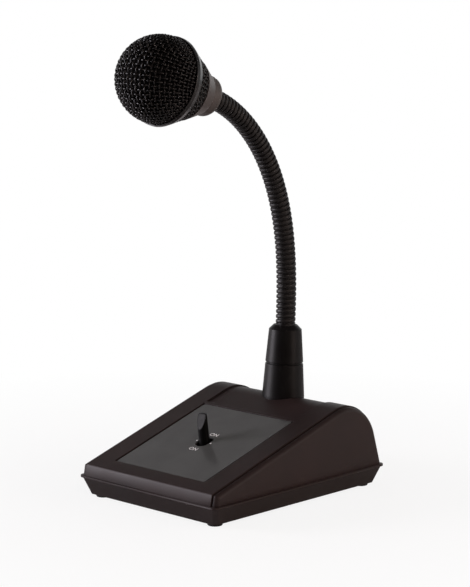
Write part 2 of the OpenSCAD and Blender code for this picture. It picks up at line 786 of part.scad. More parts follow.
module gooseneck(i) color("#1f1d1e") {
    low = joint_at(i - 1);
    translate([0, low.x, low.y]) rotate([heading(i), 0, 0])
        rotate_extrude() stretch_profile(i == 1, i == stretches);
}

module head_socket() color("#2b2829") on_head() difference() {
    rotate_extrude() difference() {
        polygon([[0, socket_start], [socket_d / 2, socket_start], [socket_d / 2, socket_l],
            [socket_d / 2 + socket_step, socket_l], [cone_d / 2, cone_end], [0, cone_end]]);
        corner_cut([socket_d / 2, socket_start], [-1, 0], [0, 1], socket_r);
        translate([0, well_start]) square([well_d / 2, cone_end]);
        translate([0, cone_end - cushion_sunk]) square([cone_d / 2 - cone_wall, cone_end]);
    }
    // bore for the gooseneck's plug, on the gooseneck's own heading
    rotate([heading(stretches) - head_heading, 0, 0])
        translate([0, 0, -plug_l]) cylinder(d = plug_d + 2 * fit, h = 2 * plug_l + well_start / 2);
    rotate(-set_turn) translate([0, 0, set_at]) rotate([-90, 0, 0])
        cylinder(d = set_d + 2 * fit, h = socket_d);
}

module set_screw() color("#8c8f92") on_head() rotate(-set_turn) translate([0, 0, set_at]) rotate([-90, 0, 0])
    difference() {
        translate([0, 0, plug_d / 2 + 2 * clear])
            cylinder(d = set_d, h = socket_d / 2 - plug_d / 2 - 2 * clear - 1.4);
        translate([0, 0, socket_d / 2 - 3]) cylinder(d = set_d / 2, h = set_d, $fn = 6);
    }

module rear_grille() color("#232122") on_head() {
    wire_l = (band_start - cone_end) / cos(rear_angle) - wire_d * sin(rear_angle) - 2 * fit;
    for (k = [0 : rear_wires - 1]) rotate(k * 360 / rear_wires)
        translate([(rear_r0 + rear_r1) / 2, 0, (cone_end + band_start) / 2]) rotate([0, rear_angle, 0])
            cylinder(d = wire_d, h = wire_l, center = true);
    for (k = [1 : rear_hoops]) {
        s = cone_end + (band_start - cone_end) * (k - 0.5) / rear_hoops;
        translate([0, 0, s]) rotate_extrude()
            translate([rear_r(s) - (wire_d + layer_gap) / cos(rear_angle), 0])
                circle(d = wire_d, $fn = hull_fn);
    }
}

module rear_foam() color("#1b1a1b") on_head() rotate_extrude() {
    inner = 2 * wire_d + 2 * layer_gap + clear;
    s0 = cone_end + cushion_l + clear;
    s1 = band_start - clear;
    polygon([[rear_r(s0) - inner, s0], [rear_r(s1) - inner, s1],
        [rear_r(s1) - inner - foam_t / 2, s1], [rear_r(s0) - inner - foam_t / 2, s0]]);
}

module grille_band() color("#2d2a2b") on_head() rotate_extrude() {
    inner = foam_r - foam_t;
    lip = ball_d / 2 - 2 * fit;
    front = band_start + band_l;
    difference() {
        polygon([[inner, band_start], [band_rear_d / 2, band_start], [band_d / 2, band_start + band_flare],
            [band_d / 2, front], [inner, front]]);
        translate([inner - 1, wire_seat]) square([lip - inner + 1, band_l]);
        corner_cut([band_d / 2, front], [-1, 0], [0, -1], (band_d / 2 - lip) * 0.7);
    }
}

// One layer of the front grille: wires in parallel planes, bowed over the ball
module wire_layer(r) {
    for (x0 = rows(0, r), side = [-1, 1]) if (x0 > 0 || side > 0) {
        bow = sqrt(r * r - x0 * x0);
        low = ball_at - wire_seat - wire_d / 2;
        half = 90 + asin(min(low / bow, 0.8));
        translate([side * x0, 0, ball_at]) rotate([0, 90, 0]) rotate([0, 0, 180 - half])
            rotate_extrude(angle = 2 * half) translate([bow, 0]) circle(d = wire_d, $fn = hull_fn);
    }
}

module front_grille() color("#232122") on_head() {
    wire_layer(outer_wire_r);
    rotate(90) wire_layer(inner_wire_r);
}

module front_foam() color("#1b1a1b") on_head() rotate_extrude() intersection() {
    translate([0, ball_at]) difference() {
        circle(foam_r);
        circle(foam_r - foam_t);
    }
    translate([0, wire_seat + clear]) square([ball_d, ball_d]);
}

module capsule() color("#8e9194") on_head() rotate_extrude() {
    front_r = 3;
    seat = cone_end - cushion_sunk;
    difference() {
        union() {
            translate([0, magnet_start]) square([magnet_d / 2, seat - magnet_start + eps]);
            translate([0, seat]) square([capsule_d / 2, capsule_end - seat]);
        }
        corner_cut([capsule_d / 2, capsule_end], [-1, 0], [0, -1], front_r);
        corner_cut([magnet_d / 2, magnet_start], [-1, 0], [0, 1], 1);
        translate([capsule_d / 2 - 0.6, capsule_end - 2 * front_r]) square([2, 1]);
    }
}

module capsule_cushion() color("#141414") on_head() rotate_extrude()
    translate([capsule_d / 2 + fit, cone_end - cushion_sunk])
        square([(cushion_d - capsule_d) / 2 - fit, cushion_sunk + cushion_l]);

from_origin() upper_housing();
from_origin() lower_tray();
from_origin() rubber_feet();
from_origin() housing_screws();
from_origin() ballast_plate();
from_origin() push_nuts();
from_origin() top_panel();
from_origin() talk_lever();
from_origin() lever_pin();
from_origin() switch_body();
from_origin() switch_screws();
from_origin() switch_terminals();
from_origin() switch_board();
from_origin() cable_grommet();
from_origin() lower_collar();
from_origin() upper_collar();
from_origin() neck_stem();
from_origin() stem_washer();
from_origin() stem_nut();
for (i = [1 : stretches]) from_origin() gooseneck(i);
from_origin() head_socket();
from_origin() set_screw();
from_origin() rear_grille();
from_origin() rear_foam();
from_origin() grille_band();
from_origin() front_grille();
from_origin() front_foam();
from_origin() capsule();
from_origin() capsule_cushion();
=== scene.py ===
from math import asin, cos, pi, radians, sin, sqrt

import bmesh
import bpy
from mathutils import Matrix, Vector


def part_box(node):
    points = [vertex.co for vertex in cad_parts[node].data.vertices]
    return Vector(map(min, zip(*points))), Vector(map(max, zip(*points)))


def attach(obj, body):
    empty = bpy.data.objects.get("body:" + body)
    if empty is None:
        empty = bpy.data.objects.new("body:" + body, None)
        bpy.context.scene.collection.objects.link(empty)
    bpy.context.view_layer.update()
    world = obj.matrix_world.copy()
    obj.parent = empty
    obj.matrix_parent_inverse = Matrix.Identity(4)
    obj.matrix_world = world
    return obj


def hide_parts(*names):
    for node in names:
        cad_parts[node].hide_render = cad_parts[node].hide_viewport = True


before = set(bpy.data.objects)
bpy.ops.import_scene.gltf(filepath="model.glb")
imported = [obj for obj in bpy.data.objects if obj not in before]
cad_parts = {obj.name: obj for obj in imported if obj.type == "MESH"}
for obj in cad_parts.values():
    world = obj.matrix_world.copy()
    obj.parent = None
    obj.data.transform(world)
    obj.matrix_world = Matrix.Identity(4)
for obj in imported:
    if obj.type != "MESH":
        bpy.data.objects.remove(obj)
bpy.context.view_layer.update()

mm = 0.001
weldGap = {"made": 1e-7, "cad": 2e-6}
scene = bpy.context.scene
scene.view_settings.view_transform = "Standard"


# sRGB hex to the linear colour that shaders take
def linear(code):
    channels = [int(code[k:k + 2], 16) / 255 for k in (1, 3, 5)]
    return tuple(c / 12.92 if c <= 0.04045 else ((c + 0.055) / 1.055) ** 2.4 for c in channels) + (1.0,)


# adds a shader node, sets its fields, and links or sets its inputs
def addNode(tree, kind, inputs=None, **fields):
    node = tree.nodes.new("ShaderNode" + kind)
    for name, value in fields.items():
        setattr(node, name, value)
    for socket, value in (inputs or {}).items():
        if isinstance(value, bpy.types.NodeSocket):
            tree.links.new(value, node.inputs[socket])
        else:
            node.inputs[socket].default_value = value
    return node


# a principled material with its Object coordinates ready
def startMaterial(name, **sockets):
    material = bpy.data.materials.new(name)
    material.use_nodes = True
    tree = material.node_tree
    tree.nodes.clear()
    shader = addNode(tree, "BsdfPrincipled", sockets)
    addNode(tree, "OutputMaterial", {"Surface": shader.outputs["BSDF"]})
    place = addNode(tree, "TexCoord").outputs["Object"]
    return material, tree, shader, place


# shared by all finishes: the part of the noise that is used, its detail, and the width of worn edges
surface = {"low": 0.3, "high": 0.7, "blotchDetail": 4.0, "grainDetail": 2.0, "edge": 0.3, "edgeSamples": 4}


# mottled colour, uneven gloss and a grain in relief: what most of the surfaces here share
def addFinish(tree, shader, place, look):
    blotch = addNode(tree, "TexNoise", {"Vector": place, "Scale": 1 / (look["blotch"] * mm),
                                        "Detail": surface["blotchDetail"]})
    tint = addNode(tree, "ValToRGB", {"Fac": blotch.outputs["Fac"]})
    stops = tint.color_ramp.elements
    stops[0].position, stops[1].position = surface["low"], surface["high"]
    stops[0].color, stops[1].color = linear(look["dark"]), linear(look["light"])
    tree.links.new(tint.outputs["Color"], shader.inputs["Base Color"])
    grain = addNode(tree, "TexNoise", {"Vector": place, "Scale": 1 / (look["grain"] * mm),
                                       "Detail": surface["grainDetail"]})
    gloss = addNode(tree, "MapRange", {"Value": blotch.outputs["Fac"], "From Min": surface["low"],
                                       "From Max": surface["high"], "To Min": look["rough"][0],
                                       "To Max": look["rough"][1]})
    tree.links.new(gloss.outputs["Result"], shader.inputs["Roughness"])
    worn = addNode(tree, "Bevel", {"Radius": look.get("edge", surface["edge"]) * mm},
                   samples=surface["edgeSamples"])
    relief = addNode(tree, "Bump", {"Height": grain.outputs["Fac"], "Strength": look["relief"],
                                    "Distance": look["depth"] * mm, "Normal": worn.outputs["Normal"]})
    tree.links.new(relief.outputs["Normal"], shader.inputs["Normal"])


finishes = {}


def makeFinish(name, look, **sockets):
    material, tree, shader, place = startMaterial(name, **sockets)
    addFinish(tree, shader, place, look)
    finishes[name] = material
    return material


# ABS moulded in a spark-eroded tool: warm black, a soft broad sheen, a fine even grain (drawn coarse to show)
absGrain = makeFinish("absSparkGrain", {
    "dark": "#201716", "light": "#271c1b", "blotch": 30, "grain": 0.7, "relief": 0.25, "depth": 0.05,
    "rough": (0.46, 0.54), "edge": 0.35}, IOR=1.5, **{"Specular IOR Level": 0.2})
# ABS moulded smoother, for the collars: blacker and a little sleeker than the console
absCollar = makeFinish("absSatinCollar", {
    "dark": "#060404", "light": "#0a0808", "blotch": 14, "grain": 0.5, "relief": 0.15, "depth": 0.03,
    "rough": (0.36, 0.44), "edge": 0.5}, IOR=1.5, **{"Specular IOR Level": 0.13})
# lacquered aluminium sheet: flat satin grey that softly mirrors what stands on it
panelLacquer = makeFinish("satinLacquerSheet", {
    "dark": "#464746", "light": "#4d4e4d", "blotch": 22, "grain": 0.45, "relief": 0.12, "depth": 0.03,
    "rough": (0.17, 0.22), "edge": 0.15}, IOR=1.5, **{"Specular IOR Level": 0.5})
# nylon lever, moulded: flat black that takes hardly any light
leverNylon = makeFinish("blackNylonMoulded", {
    "dark": "#030303", "light": "#060606", "blotch": 6, "grain": 0.4, "relief": 0.12, "depth": 0.03,
    "rough": (0.42, 0.5), "edge": 0.3}, IOR=1.53, **{"Specular IOR Level": 0.05})
# the lever's finger flat, coloured greyer and patchy than the rest: painted sheen for the light the flat catches
leverFlatSheen = makeFinish("blackNylonFlatSheen", {
    "dark": "#111110", "light": "#232322", "blotch": 2.5, "grain": 0.3, "relief": 0.15, "depth": 0.03,
    "rough": (0.4, 0.55), "edge": 0.3}, IOR=1.53, **{"Specular IOR Level": 0.07})
# wound steel wire under black lacquer: each turn carries its own soft streak of light
neckLacquer = makeFinish("lacqueredSteelWire", {
    "dark": "#070505", "light": "#0e0a09", "blotch": 9, "grain": 0.3, "relief": 0.1, "depth": 0.03,
    "rough": (0.42, 0.5), "edge": 0.1}, IOR=1.5, **{"Specular IOR Level": 0.25})
# woven steel wire, dip-enamelled black: small broken glints on the crossings
grilleEnamel = makeFinish("enamelledWireMesh", {
    "dark": "#060404", "light": "#0d0908", "blotch": 4, "grain": 0.3, "relief": 0.15, "depth": 0.03,
    "rough": (0.22, 0.3), "edge": 0.1}, IOR=1.5, **{"Specular IOR Level": 0.2})
# spun aluminium ring under satin black paint: one clean streak of light along it
bandPaint = makeFinish("satinBlackPaintRing", {
    "dark": "#0b0909", "light": "#120f0f", "blotch": 10, "grain": 0.4, "relief": 0.1, "depth": 0.03,
    "rough": (0.24, 0.3), "edge": 0.3}, IOR=1.5, **{"Specular IOR Level": 0.28})
# turned aluminium under the same paint, duller where the hand holds it
socketPaint = makeFinish("satinBlackPaintCone", {
    "dark": "#2f2926", "light": "#39312e", "blotch": 12, "grain": 0.5, "relief": 0.15, "depth": 0.03,
    "rough": (0.42, 0.5), "edge": 0.3}, IOR=1.5, **{"Specular IOR Level": 0.45})
# open-cell polyurethane foam: matt, pitted, swallows light
foamOpenCell = makeFinish("polyurethaneFoamOpenCell", {
    "dark": "#050505", "light": "#0c0b0b", "blotch": 5, "grain": 0.8, "relief": 0.9, "depth": 0.4,
    "rough": (0.9, 1.0), "edge": 0.1}, IOR=1.4, **{"Specular IOR Level": 0.2})
# moulded neoprene rubber: flat black with a chalky bloom
rubberMoulded = makeFinish("neopreneMoulded", {
    "dark": "#0e0e0e", "light": "#181717", "blotch": 5, "grain": 0.5, "relief": 0.3, "depth": 0.05,
    "rough": (0.7, 0.85), "edge": 0.3}, IOR=1.52, **{"Specular IOR Level": 0.4})
# steel with bright zinc plate: cool grey, slightly cloudy
zincPlate = makeFinish("zincPlatedSteel", {
    "dark": "#8b8f93", "light": "#b4b7b9", "blotch": 3, "grain": 0.3, "relief": 0.2, "depth": 0.02,
    "rough": (0.28, 0.42), "edge": 0.15}, Metallic=1.0)
# hot-rolled steel plate: blue-grey scale, uneven
rolledSteel = makeFinish("hotRolledSteel", {
    "dark": "#4a4c50", "light": "#6d6f72", "blotch": 12, "grain": 0.6, "relief": 0.35, "depth": 0.05,
    "rough": (0.45, 0.65), "edge": 0.3}, Metallic=1.0)
# turned aluminium case of the cartridge
turnedAluminium = makeFinish("turnedAluminium", {
    "dark": "#a3a5a6", "light": "#c3c4c5", "blotch": 4, "grain": 0.3, "relief": 0.15, "depth": 0.02,
    "rough": (0.3, 0.4), "edge": 0.2}, Metallic=1.0)
# tinned brass contacts
tinnedBrass = makeFinish("tinnedBrass", {
    "dark": "#b18d45", "light": "#cdb16e", "blotch": 2, "grain": 0.3, "relief": 0.1, "depth": 0.02,
    "rough": (0.25, 0.4), "edge": 0.1}, Metallic=1.0)
# glass-epoxy board under green solder lacquer
boardLacquer = makeFinish("glassEpoxyBoard", {
    "dark": "#1f4d2c", "light": "#2a5f38", "blotch": 6, "grain": 0.4, "relief": 0.15, "depth": 0.03,
    "rough": (0.3, 0.45), "edge": 0.1}, IOR=1.55)
# phenolic switch block
phenolicBlock = makeFinish("phenolicMoulded", {
    "dark": "#17181a", "light": "#222326", "blotch": 5, "grain": 0.4, "relief": 0.2, "depth": 0.03,
    "rough": (0.4, 0.55), "edge": 0.2}, IOR=1.55)
# screen-printed white ink, thin enough to let a little grey through
printInk = makeFinish("screenPrintInk", {
    "dark": "#dcdcda", "light": "#f0f0ee", "blotch": 1.2, "grain": 0.3, "relief": 0.1, "depth": 0.01,
    "rough": (0.5, 0.65), "edge": 0.02}, IOR=1.5)
print("materials:", len(finishes))


# turns a finished bmesh into a piece at the origin
def finishPiece(name, bm, material, sharp=35):
    bmesh.ops.remove_doubles(bm, verts=bm.verts[:], dist=weldGap["made"])
    bmesh.ops.recalc_face_normals(bm, faces=bm.faces[:])
    mesh = bpy.data.meshes.new(name)
    bm.to_mesh(mesh)
    bm.free()
    mesh.shade_smooth()
    mesh.set_sharp_from_angle(angle=radians(sharp))
    mesh.materials.append(material)
    piece = bpy.data.objects.new(name, mesh)
    scene.collection.objects.link(piece)
    return piece


# camera, fitted to the corners of the base in the photograph
shot = {"azimuth": 43.8, "elevation": 9.08, "distance": 1.2641, "target": (0.00155, 0.00566, 0.12378),
        "lens": 127.03, "sensor": 36, "clip": 0.05}
azimuth, elevation = radians(shot["azimuth"]), radians(shot["elevation"])
backward = Vector((sin(azimuth) * cos(elevation), -cos(azimuth) * cos(elevation), sin(elevation)))
camera = bpy.data.objects.new("camera", bpy.data.cameras.new("camera"))
camera.data.lens = shot["lens"]
camera.data.sensor_width = shot["sensor"]
camera.data.clip_start = shot["clip"]
camera.location = Vector(shot["target"]) + backward * shot["distance"]
camera.rotation_euler = backward.to_track_quat("Z", "Y").to_euler()
scene.collection.objects.link(camera)
scene.camera = camera

# console top: one moulding with a raised band between two rolled cheeks
shellLow, shellHigh = (Vector(corner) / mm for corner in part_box("upper_housing"))
console = {
    "half": shellHigh.x, "foot": shellLow.z, "front": shellLow.y, "rear": shellHigh.y,
    "cheek": 4.0, "groove": 1.0, "grooveDepth": 1.7, "bandProud": 0.8, "cheekRound": 2.9,
    "rollSteps": 9, "frontHeight": 7.2, "frontLean": 1.3, "slope": 17.2, "frontRound": 2.0, "leastRound": 0.4,
    "crestRound": 29.0, "wall": 2.4, "edge": 0.35, "edgeSteps": 2, "edgeAngle": 38,
    "pocketHalf": 38.5, "pocketFront": 10.0, "pocketBack": 90.6, "pocketDepth": 1.6,
    "channelFront": 93.3, "channelDepth": 0.9, "leverMiddle": 50.3, "openHalf": 5.1, "openReach": 7.0,
    "inletHeight": 25.0, "inletRadius": 4.55, "inletCell": 5.1, "inletCuts": 7}
bandHalf = console["half"] - console["cheek"]
slope = radians(console["slope"])
along = Vector((0, cos(slope), sin(slope)))
outward = Vector((0, -sin(slope), cos(slope)))
frontEdge = Vector((0, console["front"] + console["frontLean"], console["foot"] + console["frontHeight"]))
frontDown = Vector((0, -console["frontLean"], -console["frontHeight"])).normalized()
topLength = (Vector((0, console["rear"], console["foot"])) - frontEdge).dot(along)
crest = frontEdge + along * topLength
inletDrop = (crest.z - console["inletHeight"]) / cos(slope)
slopeMarks = [console["pocketFront"], console["leverMiddle"] - console["openReach"],
              console["leverMiddle"] + console["openReach"], console["pocketBack"], console["channelFront"]]
rearMarks = [inletDrop - console["inletCell"], inletDrop + console["inletCell"]]
frontSteps, crestSteps = 5, 28


# points from the front foot over the crest to the rear foot, drawn in by inset
def consoleProfile(inset):
    sine = frontDown.cross(along).length
    corner = frontEdge + (frontDown + along) * (inset / sine)
    bend = max(console["frontRound"] - inset, console["leastRound"])
    middle = corner + (frontDown + along) * (bend / sine)
    reach = bend * (1 + frontDown.dot(along)) / sine
    first = corner + frontDown * reach - middle
    turn = first.angle(corner + along * reach - middle)
    points = [corner + frontDown * ((corner.z - console["foot"]) / -frontDown.z)]
    points += [middle + Matrix.Rotation(-turn * k / frontSteps, 3, "X") @ first
               for k in range(frontSteps + 1)]
    points += [frontEdge + along * mark - outward * inset for mark in slopeMarks]
    hub = crest - (along + outward) * console["crestRound"]
    radius = console["crestRound"] - inset
    points += [hub + Matrix.Rotation(-pi / 2 * k / crestSteps, 3, "X") @ outward * radius
               for k in range(crestSteps + 1)]
    wallTop = crest - along * inset
    points += [wallTop - outward * mark for mark in rearMarks]
    points.append(wallTop - outward * ((wallTop.z - console["foot"]) / cos(slope)))
    return points


# places across the console, each with how far the profile is drawn in there
def consoleStations():
    rolled = []
    for k in range(console["rollSteps"] + 1):
        roll = pi / 2 * (1 - k / console["rollSteps"])
        rolled.append((-console["half"] + console["cheekRound"] * (1 - sin(roll)),
                       console["bandProud"] + console["cheekRound"] * (1 - cos(roll))))
    groove = console["bandProud"] + console["grooveDepth"]
    rolled += [(-bandHalf - console["groove"], console["bandProud"]), (-bandHalf - console["groove"], groove),
               (-bandHalf, groove), (-bandHalf, 0), (-console["pocketHalf"], 0), (-console["openHalf"], 0)]
    return rolled + [(-x, inset) for x, inset in reversed(rolled)]


# pushes faces in to a deeper profile and returns the pushed ones
def sinkFaces(bm, faces, depth, rowLayer):
    lifted = bmesh.ops.extrude_face_region(bm, geom=faces)["geom"]
    deep = consoleProfile(depth)
    for vert in [g for g in lifted if isinstance(g, bmesh.types.BMVert)]:
        vert.co.yz = deep[vert[rowLayer]].yz
    old = [f for f in faces if f.is_valid]
    if old:
        bmesh.ops.delete(bm, geom=old, context="FACES_ONLY")
    return [g for g in lifted if isinstance(g, bmesh.types.BMFace)]


def makeConsole():
    stations = consoleStations()
    profiles = [consoleProfile(inset) for _, inset in stations]
    across, deep = len(stations) - 1, len(profiles[0]) - 1
    bm = bmesh.new()
    bmesh.ops.create_grid(bm, x_segments=across, y_segments=deep, size=1.0)
    column = bm.verts.layers.int.new("column")
    row = bm.verts.layers.int.new("row")
    for vert in bm.verts:
        i, j = round((vert.co.x + 1) / 2 * across), round((vert.co.y + 1) / 2 * deep)
        vert[column], vert[row] = i, j
        vert.co = Vector((stations[i][0], profiles[i][j].y, profiles[i][j].z))
    for end in (0, across):
        rim = sorted((v for v in bm.verts if v[column] == end), key=lambda v: v[row])
        bm.faces.new(rim)

    def inside(face, low, high, first, last):
        return all(low <= v[column] <= high and first <= v[row] <= last for v in face.verts)

    left = next(i for i, s in enumerate(stations) if s[0] == -console["pocketHalf"])
    hole = next(i for i, s in enumerate(stations) if s[0] == -console["openHalf"])
    slopeRow = frontSteps + 2
    pocket = [f for f in bm.faces if inside(f, left, across - left, slopeRow, slopeRow + 3)]
    pocketFloor = sinkFaces(bm, pocket, console["pocketDepth"], row)
    opening = [f for f in pocketFloor if inside(f, hole, across - hole, slopeRow + 1, slopeRow + 2)]
    bmesh.ops.delete(bm, geom=opening, context="FACES")
    channel = [f for f in bm.faces if inside(f, left, across - left, slopeRow + 4, deep)]
    channelFloor = sinkFaces(bm, channel, console["channelDepth"], row)
    # round hole for the grommet, out of the square cell left for it
    cell = [f for f in channelFloor if inside(f, hole, across - hole, deep - 2, deep - 1)]
    centre = cell[0].calc_center_median()
    rim = list(cell[0].edges)
    bmesh.ops.delete(bm, geom=cell, context="FACES_ONLY")
    split = bmesh.ops.subdivide_edges(bm, edges=rim, cuts=console["inletCuts"])["geom_inner"]
    rim = list({e for v in split if isinstance(v, bmesh.types.BMVert)
                for e in v.link_edges if e.is_boundary})
    ring = bmesh.ops.extrude_edge_only(bm, edges=rim)["geom"]
    for vert in [g for g in ring if isinstance(g, bmesh.types.BMVert)]:
        vert.co = centre + (vert.co - centre).normalized() * console["inletRadius"]
    bm.verts.layers.int.remove(column)
    bm.verts.layers.int.remove(bm.verts.layers.int["row"])
    bmesh.ops.scale(bm, vec=(mm, mm, mm), verts=bm.verts[:])
    piece = finishPiece("consoleTop", bm, absGrain, sharp=30)
    shell = piece.modifiers.new("shell", "SOLIDIFY")
    shell.thickness, shell.offset = console["wall"] * mm, -1
    soften = piece.modifiers.new("soften", "BEVEL")
    soften.width, soften.segments = console["edge"] * mm, console["edgeSteps"]
    soften.limit_method, soften.angle_limit = "ANGLE", radians(console["edgeAngle"])
    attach(piece, "base")
    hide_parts("upper_housing")


makeConsole()
print("console top done")


# a merged copy of a CAD solid, shaded smooth across its facets
def smoothCopy(node, name, material, body, sharp=30):
    bm = bmesh.new()
    bm.from_mesh(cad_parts[node].data)
    bmesh.ops.remove_doubles(bm, verts=bm.verts[:], dist=weldGap["cad"])
    piece = finishPiece(name, bm, material, sharp)
    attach(piece, body)
    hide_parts(node)


# point on the sloped top: x across, v up the slope, n out of the band, all in millimetres
def onSlope(x, v, n):
    return (Vector((x, 0, 0)) + frontEdge + along * v + outward * n) * mm


# talk lever: a round bar with a slanted finger flat on its front, on a round barrel
lever = {"pivotDepth": 7.9, "under": 7.5, "bar": 3.25, "tip": 17.8, "rake": 9.0, "crown": 1.2, "barrel": 6.0,
         "barrelWidth": 9.0, "edge": 0.45, "frame": 0.45, "flatTop": (0.85, 17.8), "flatFoot": (-3.25, 8.4),
         "barSides": 40, "barrelSides": 48, "crownSteps": 6, "edgeSteps": 3, "tipSlack": 0.01, "cutSlack": 1e-5,
         "flatFacing": 0.99}


def makeLever():
    bm = bmesh.new()
    bmesh.ops.create_cone(bm, cap_ends=True, segments=lever["barSides"], radius1=lever["bar"],
                          radius2=lever["bar"], depth=lever["tip"] + lever["under"],
                          matrix=Matrix.Translation((0, 0, (lever["tip"] - lever["under"]) / 2)))
    crown = [e for e in bm.edges if all(v.co.z > lever["tip"] - lever["tipSlack"] for v in e.verts)]
    bmesh.ops.bevel(bm, geom=crown, offset=lever["crown"], offset_type="OFFSET", segments=lever["crownSteps"],
                    profile=0.5, affect="EDGES", material=-1)
    (v1, u1), (v0, u0) = lever["flatTop"], lever["flatFoot"]
    slant = Vector((0, -(u1 - u0), v1 - v0)).normalized()
    cut = bmesh.ops.bisect_plane(bm, geom=bm.verts[:] + bm.edges[:] + bm.faces[:], dist=lever["cutSlack"],
                                 plane_co=(0, v1, u1), plane_no=slant, clear_outer=True)["geom_cut"]
    rim = [g for g in cut if isinstance(g, bmesh.types.BMEdge)]
    bmesh.ops.contextual_create(bm, geom=rim)
    bmesh.ops.recalc_face_normals(bm, faces=bm.faces[:])
    bmesh.ops.bevel(bm, geom=rim, offset=lever["edge"], offset_type="OFFSET", segments=lever["edgeSteps"],
                    profile=0.5, affect="EDGES", material=0, clamp_overlap=True)
    facing = [f for f in bm.faces if f.normal.dot(slant) > lever["flatFacing"]]
    sheenFlat = max(facing, key=lambda f: f.calc_area())
    bmesh.ops.inset_individual(bm, faces=[sheenFlat], thickness=lever["frame"], use_even_offset=True)
    # the flat inside its frame takes the greyer copy of the nylon: painted sheen
    sheenFlat.material_index = 1
    # the bar leans back through the middle of the slot
    leanBack = Matrix.Translation((0, 0, lever["under"])) @ Matrix.Rotation(radians(-lever["rake"]), 4, "X")
    bmesh.ops.transform(bm, matrix=leanBack, verts=bm.verts[:])
    bmesh.ops.create_cone(bm, cap_ends=True, segments=lever["barrelSides"], radius1=lever["barrel"],
                          radius2=lever["barrel"], depth=lever["barrelWidth"],
                          matrix=Matrix.Rotation(pi / 2, 4, "Y"))
    for vert in bm.verts:
        vert.co = onSlope(vert.co.x, console["leverMiddle"] + vert.co.y, vert.co.z - lever["pivotDepth"])
    piece = finishPiece("talkLever", bm, leverNylon, sharp=40)
    piece.data.materials.append(leverFlatSheen)
    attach(piece, "lever")
    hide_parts("talk_lever")


makeLever()
print("lever done")

# switch marks printed on the panel: a word before and behind the slot, a dot on each side
marks = {"word": "ON", "size": 4.2, "wordSpots": [(0, 40.3), (0, 59.2)],
         "dotSpots": [(-5.8, 49.7), (5.8, 49.7)], "dot": 0.6, "dotSides": 20, "ink": 0.03, "faceDepth": 0.4}


def makeMarks():
    bm = bmesh.new()
    text = bpy.data.curves.new("switchWord", "FONT")
    text.body, text.size, text.align_x, text.align_y = marks["word"], marks["size"], "CENTER", "CENTER"
    word = bpy.data.objects.new("switchWord", text)
    scene.collection.objects.link(word)
    flat = bpy.data.meshes.new_from_object(word.evaluated_get(bpy.context.evaluated_depsgraph_get()))
    for x, v in marks["wordSpots"]:
        start = len(bm.verts)
        bm.from_mesh(flat)
        bm.verts.ensure_lookup_table()
        bmesh.ops.translate(bm, verts=bm.verts[start:], vec=(x, v, 0))
    for x, v in marks["dotSpots"]:
        bmesh.ops.create_circle(bm, cap_ends=True, segments=marks["dotSides"], radius=marks["dot"],
                                matrix=Matrix.Translation((x, v, 0)))
    top = bmesh.ops.extrude_face_region(bm, geom=bm.faces[:])["geom"]
    raised = [g for g in top if isinstance(g, bmesh.types.BMVert)]
    bmesh.ops.translate(bm, verts=raised, vec=(0, 0, marks["ink"]))
    for vert in bm.verts:
        vert.co = onSlope(vert.co.x, vert.co.y, vert.co.z - marks["faceDepth"])
    bpy.data.objects.remove(word)
    bpy.data.meshes.remove(flat)
    piece = finishPiece("switchMarks", bm, printInk, sharp=30)
    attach(piece, "base")


makeMarks()
print("marks done")

# gooseneck: wound wire over a core, bent along the route that the CAD stretches follow
neck = {"stretches": 21, "stretch": 8.22, "turns": 2.6, "start": (53.163, 98.536), "lean": 2.5,
        "endHeading": 72.0, "power": 1.71, "wireRadius": (1.28, 0.58), "wireMiddle": 5.72, "wireSides": 12,
        "turnSteps": 28, "core": 5.3, "coreSides": 28, "coreRings": 6, "inCollar": 3.0, "inSocket": 1.4}
stretchLength = neck["stretch"]
wirePitch = stretchLength / neck["turns"]


# lean of a stretch towards the front, growing faster near the head
def heading(i):
    share = ((i - 0.5) / neck["stretches"]) ** neck["power"]
    return radians(-neck["lean"] + (neck["endHeading"] + neck["lean"]) * share)


def forward(angle):
    return Vector((0, -sin(angle), cos(angle)))


jointSpots = [Vector((0, *neck["start"]))]
for i in range(1, neck["stretches"] + 1):
    jointSpots.append(jointSpots[-1] + forward(heading(i)) * stretchLength)


# heading of the route where two stretches meet
def jointHeading(i):
    return (heading(max(i, 1)) + heading(min(i + 1, neck["stretches"]))) / 2


# one run of wound wire along Z, over a core that starts in a half ball: neighbours turn without a slit
def windRun(low, high, wound):
    bm = bmesh.new()
    turns = (high - low) / wirePitch
    steps = round(turns * neck["turnSteps"])
    spot = Matrix.Translation((neck["wireMiddle"], 0, low)) @ Matrix.Rotation(pi / 2, 4, "X")
    spot = spot @ Matrix.Diagonal((neck["wireRadius"][1], neck["wireRadius"][0], 1, 1))
    ring = bmesh.ops.create_circle(bm, cap_ends=False, segments=neck["wireSides"], radius=1.0,
                                   matrix=spot)["verts"]
    phase = Matrix.Rotation(2 * pi * (wound + low / wirePitch), 3, "Z")
    bmesh.ops.rotate(bm, verts=ring, cent=(0, 0, 0), matrix=phase)
    rim = bm.edges[:]
    last = bmesh.ops.spin(bm, geom=ring + rim, cent=(0, 0, 0), axis=(0, 0, 1),
                          dvec=(0, 0, (high - low) / steps), angle=2 * pi * turns, steps=steps,
                          use_merge=False, use_duplicate=False)["geom_last"]
    bmesh.ops.contextual_create(bm, geom=rim)
    bmesh.ops.contextual_create(bm, geom=[g for g in last if isinstance(g, bmesh.types.BMEdge)])
    core, rings = neck["core"], neck["coreRings"]
    outline = [(core * sin(pi / 2 * k / rings), low - core * cos(pi / 2 * k / rings))
               for k in range(rings + 1)]
    outline += [(core, low + (high - low) * k / rings) for k in range(1, rings + 1)] + [(0, high)]
    verts = [bm.verts.new((r, 0, z)) for r, z in outline]
    edges = [bm.edges.new(pair) for pair in zip(verts, verts[1:])]
    bmesh.ops.spin(bm, geom=verts + edges, cent=(0, 0, 0), axis=(0, 0, 1), angle=2 * pi,
                   steps=neck["coreSides"], use_merge=True)
    return bm


